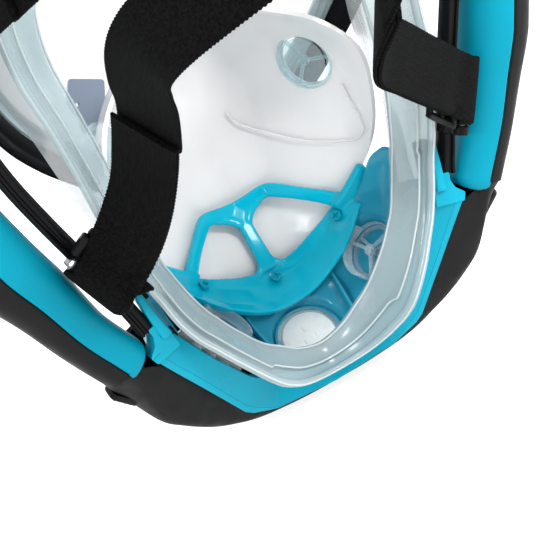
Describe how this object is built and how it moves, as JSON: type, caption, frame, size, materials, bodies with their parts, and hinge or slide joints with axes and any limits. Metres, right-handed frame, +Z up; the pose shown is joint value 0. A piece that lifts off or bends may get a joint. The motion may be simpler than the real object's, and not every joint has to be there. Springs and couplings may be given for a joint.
{
  "type": "full-face snorkel mask",
  "caption": "Full-face snorkel mask with a curved window, a clear breathing cup, a chin unit with exhaust valves, side breathing tubes with float valves, and head straps.",
  "frame": {"origin": "middle of the plane of the face seal, at mount face_seal", "axes": "+Z up to the forehead, +Y out of the mask's back towards the wearer, +X to the wearer's left"},
  "size_m": [0.283, 0.2626, 0.3977],
  "materials": {
    "frame_black": "satin moulded black",
    "lens_clear": "clear polycarbonate",
    "silicone_clear": "clear frosted silicone",
    "teal_matte": "fine matt teal",
    "teal_gloss": "gloss teal",
    "teal_clear": "translucent teal",
    "shroud_black": "fine spark texture",
    "valve_clear": "clear moulded",
    "valve_white": "white moulded",
    "flap_white": "white silicone",
    "seal_grey": "grey silicone",
    "float_teal": "gloss hollow float",
    "strap_black": "woven elastic",
    "pad_black": "soft moulded",
    "pin_steel": "stainless"
  },
  "bodies": {
    "mask": {"buckle_pins": "pin_steel", "cheek_valve_seat_left": "valve_clear", "cheek_valve_seat_right": "valve_clear", "chin_housing": "teal_matte", "chin_shroud": "shroud_black", "clamp_screws": "teal_gloss", "cup_clamp": "teal_gloss", "drain_cover": "shroud_black", "drain_valve_seat": "valve_white", "face_skirt": "silicone_clear", "float_cage_left": "shroud_black", "float_cage_right": "shroud_black", "float_cap_left": "teal_matte", "float_cap_right": "teal_matte", "lens_gasket": "silicone_clear", "lower_strap_left": "strap_black", "lower_strap_right": "strap_black", "oronasal_cup": "silicone_clear", "side_leg_left": "frame_black", "side_leg_right": "frame_black", "side_valve_cage_left": "valve_clear", "side_valve_cage_right": "valve_clear", "side_valve_seat_left": "valve_clear", "side_valve_seat_right": "valve_clear", "strap_pad": "pad_black", "tube_back_left": "teal_matte", "tube_back_right": "teal_matte", "tube_front_left": "shroud_black", "tube_front_right": "shroud_black", "tube_seal_left": "seal_grey", "tube_seal_right": "seal_grey", "upper_strap_left": "strap_black", "upper_strap_right": "strap_black", "valve_deck": "teal_clear", "visor_lens": "lens_clear", "visor_rim": "frame_black"},
    "drain_flap": {"drain_valve_flap": "flap_white"},
    "side_flap_left": {"side_valve_flap_left": "flap_white"},
    "cheek_flap_left": {"cheek_valve_flap_left": "flap_white"},
    "float_left": {"float_body_left": "float_teal", "float_seal_left": "seal_grey"},
    "latch_left": {"tube_latch_left": "shroud_black"},
    "lower_buckle_left": {"lower_buckle_left": "frame_black", "lower_strap_end_left": "strap_black"},
    "upper_buckle_left": {"upper_buckle_left": "frame_black", "upper_strap_end_left": "strap_black"},
    "side_flap_right": {"side_valve_flap_right": "flap_white"},
    "cheek_flap_right": {"cheek_valve_flap_right": "flap_white"},
    "float_right": {"float_body_right": "float_teal", "float_seal_right": "seal_grey"},
    "latch_right": {"tube_latch_right": "shroud_black"},
    "lower_buckle_right": {"lower_buckle_right": "frame_black", "lower_strap_end_right": "strap_black"},
    "upper_buckle_right": {"upper_buckle_right": "frame_black", "upper_strap_end_right": "strap_black"}
  },
  "joints": [
    {"name": "drain_flap_lift", "type": "slide", "parent": "mask", "child": "drain_flap", "axis": [0, -0.6222, -0.7828], "range_m": [0, 0.0015], "stiffness_N_per_m": 30},
    {"name": "side_flap_left_lift", "type": "slide", "parent": "mask", "child": "side_flap_left", "axis": [0.66, -0.34, -0.67], "range_m": [0, 0.0015], "stiffness_N_per_m": 30},
    {"name": "cheek_flap_left_lift", "type": "slide", "parent": "mask", "child": "cheek_flap_left", "axis": [-0.799, 0.5993, -0.0499], "range_m": [0, 0.0015], "stiffness_N_per_m": 30},
    {"name": "float_left_rise", "type": "slide", "parent": "mask", "child": "float_left", "axis": [-0.2308, 0.3077, 0.9231], "range_m": [0, 0.01]},
    {"name": "latch_left_press", "type": "slide", "parent": "mask", "child": "latch_left", "axis": [-0.76, 0.25, 0.6], "range_m": [0, 0.0012], "stiffness_N_per_m": 500},
    {"name": "lower_buckle_left_hinge", "type": "hinge", "parent": "mask", "child": "lower_buckle_left", "pos_m": [0.0825, 0.008, -0.015], "axis": [0.4218, 0.0703, 0.9039], "range_deg": [-12, 7]},
    {"name": "upper_buckle_left_hinge", "type": "hinge", "parent": "mask", "child": "upper_buckle_left", "pos_m": [0.101, 0.0155, 0.093], "axis": [-0.1203, 0, 0.9927], "range_deg": [-12, 12]},
    {"name": "side_flap_right_lift", "type": "slide", "parent": "mask", "child": "side_flap_right", "axis": [-0.66, -0.34, -0.67], "range_m": [0, 0.0015], "stiffness_N_per_m": 30},
    {"name": "cheek_flap_right_lift", "type": "slide", "parent": "mask", "child": "cheek_flap_right", "axis": [0.799, 0.5993, -0.0499], "range_m": [0, 0.0015], "stiffness_N_per_m": 30},
    {"name": "float_right_rise", "type": "slide", "parent": "mask", "child": "float_right", "axis": [0.2308, 0.3077, 0.9231], "range_m": [0, 0.01]},
    {"name": "latch_right_press", "type": "slide", "parent": "mask", "child": "latch_right", "axis": [0.76, 0.25, 0.6], "range_m": [0, 0.0012], "stiffness_N_per_m": 500},
    {"name": "lower_buckle_right_hinge", "type": "hinge", "parent": "mask", "child": "lower_buckle_right", "pos_m": [-0.0825, 0.008, -0.015], "axis": [0.4218, -0.0703, -0.9039], "range_deg": [-12, 7]},
    {"name": "upper_buckle_right_hinge", "type": "hinge", "parent": "mask", "child": "upper_buckle_right", "pos_m": [-0.101, 0.0155, 0.093], "axis": [-0.1203, 0, -0.9927], "range_deg": [-12, 12]}
  ]
}
